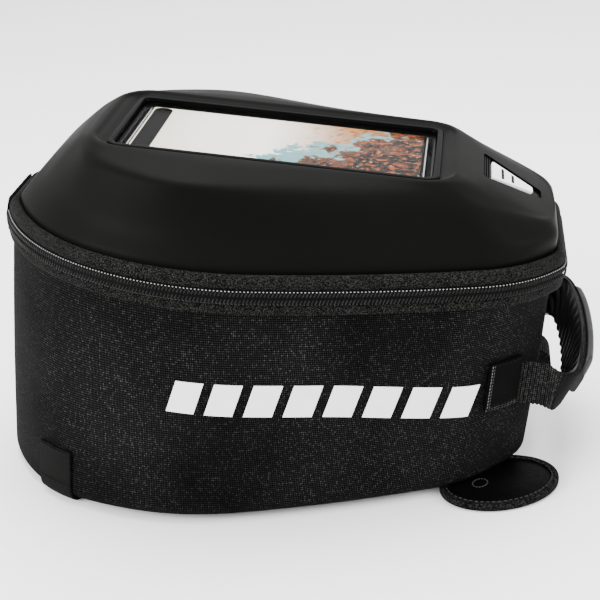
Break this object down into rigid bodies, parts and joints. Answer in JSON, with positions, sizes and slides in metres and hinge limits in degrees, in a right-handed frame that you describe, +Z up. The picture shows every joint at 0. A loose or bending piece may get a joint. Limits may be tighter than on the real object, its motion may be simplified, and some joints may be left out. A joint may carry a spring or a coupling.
{
  "type": "motorcycle tank bag",
  "caption": "Motorcycle tank bag: moulded lid with a phone window, zipped fabric body, webbing grab handle, magnetic corner wings and a rubber base pad.",
  "frame": {"origin": "middle of the bounding box at the level of the surface the bag rests on", "axes": "+X towards the rider, the handle end; -Y is the near side; +Z up, square to the surface it rests on"},
  "size_m": [0.3326, 0.209, 0.1961],
  "materials": {
    "oxford": "coarse woven polyester, matt, black with pale flecks",
    "lining": "plain thin woven lining, dark grey",
    "board": "satin moulded sheet",
    "base_rubber": "matt, lightly grained",
    "rim_tape": "woven tape, black flecked with grey, matt",
    "zip_teeth": "satin nylon coil",
    "webbing": "ribbed woven webbing, matt",
    "lid_skin": "soft-touch moulded skin, fine grain",
    "gloss_black": "gloss black",
    "clear_film": "clear film",
    "card_face": "printed card, gloss",
    "reflective": "pale reflective transfer",
    "grip_rubber": "ribbed, matt",
    "grip_cover": "smooth padded cover, satin",
    "foam": "closed-cell foam, matt",
    "slider_metal": "black enamelled",
    "magnet": "dark grey magnet",
    "wing_face": "coated fabric, gloss",
    "wing_sole": "soft, matt"
  },
  "bodies": {
    "body": {"body_shell": "oxford", "body_lining": "lining", "base_board": "board", "base_pad": "base_rubber", "lower_zip_band": "rim_tape", "lower_zip_row": "zip_teeth", "hinge_tape_lower": "rim_tape", "side_print_near": "reflective", "side_print_far": "reflective", "handle_patch_near": "webbing", "handle_patch_far": "webbing", "handle_root_near": "webbing", "handle_root_far": "webbing", "rear_loop": "webbing", "front_tab_near": "webbing", "front_tab_far": "webbing", "wing_root_near": "webbing", "wing_root_far": "webbing"},
    "lid": {"lid_shell": "lid_skin", "lid_lining": "lining", "upper_zip_band": "rim_tape", "upper_zip_row": "zip_teeth", "hinge_tape_upper": "rim_tape", "window_trim": "gloss_black", "window_film": "clear_film", "display_card": "card_face", "pocket_frame": "board", "lid_inlay": "reflective"},
    "pocket_flap": {"pocket_flap": "lining", "pocket_pad": "foam"},
    "handle": {"handle_webbing": "webbing", "grip_inner": "grip_rubber", "grip_outer": "grip_cover"},
    "wing_near": {"wing_skin_near": "wing_face", "wing_sole_near": "wing_sole", "wing_magnet_near": "magnet", "wing_binding_near": "rim_tape"},
    "wing_far": {"wing_skin_far": "wing_face", "wing_sole_far": "wing_sole", "wing_magnet_far": "magnet", "wing_binding_far": "rim_tape"},
    "slider_a": {"zip_slider_a": "slider_metal"},
    "slider_b": {"zip_slider_b": "slider_metal"},
    "pull_a": {"zip_pull_a": "slider_metal"},
    "pull_b": {"zip_pull_b": "slider_metal"}
  },
  "joints": [
    {"name": "lid_hinge", "type": "hinge", "parent": "body", "child": "lid", "pos_m": [-0.15133, 0, 0.14752], "axis": [0, -1, 0], "range_deg": [0, 105]},
    {"name": "pocket_flap_hinge", "type": "hinge", "parent": "lid", "child": "pocket_flap", "pos_m": [-0.00148, 0.0416, 0.16373], "axis": [0.989, 0, -0.1478], "range_deg": [0, 110]},
    {"name": "handle_swing", "type": "hinge", "parent": "body", "child": "handle", "pos_m": [0.13166, 0, 0.05672], "axis": [0, -1, 0], "range_deg": [-25, 25]},
    {"name": "wing_near_fold", "type": "hinge", "parent": "body", "child": "wing_near", "pos_m": [0.11419, -0.06735, 0.00225], "axis": [-0.6428, -0.766, 0], "range_deg": [-25, 45]},
    {"name": "wing_far_fold", "type": "hinge", "parent": "body", "child": "wing_far", "pos_m": [0.11419, 0.06735, 0.00225], "axis": [0.6428, -0.766, 0], "range_deg": [-25, 45]},
    {"name": "slider_a_run", "type": "hinge", "parent": "body", "child": "slider_a", "pos_m": [-0.03544, -0.02112, 0.13486], "axis": [0.108, 0, 0.9942], "range_deg": [0, 4]},
    {"name": "slider_b_run", "type": "hinge", "parent": "body", "child": "slider_b", "pos_m": [-0.03544, -0.02112, 0.13486], "axis": [0.108, 0, 0.9942], "range_deg": [-16, 0]},
    {"name": "pull_a_swing", "type": "hinge", "parent": "slider_a", "child": "pull_a", "pos_m": [-0.14621, 0.03808, 0.1469], "axis": [0.4664, 0.8831, -0.0507], "range_deg": [0, 100]},
    {"name": "pull_b_swing", "type": "hinge", "parent": "slider_b", "child": "pull_b", "pos_m": [-0.13821, 0.05121, 0.14603], "axis": [0.5699, 0.8194, -0.0619], "range_deg": [0, 100]}
  ]
}
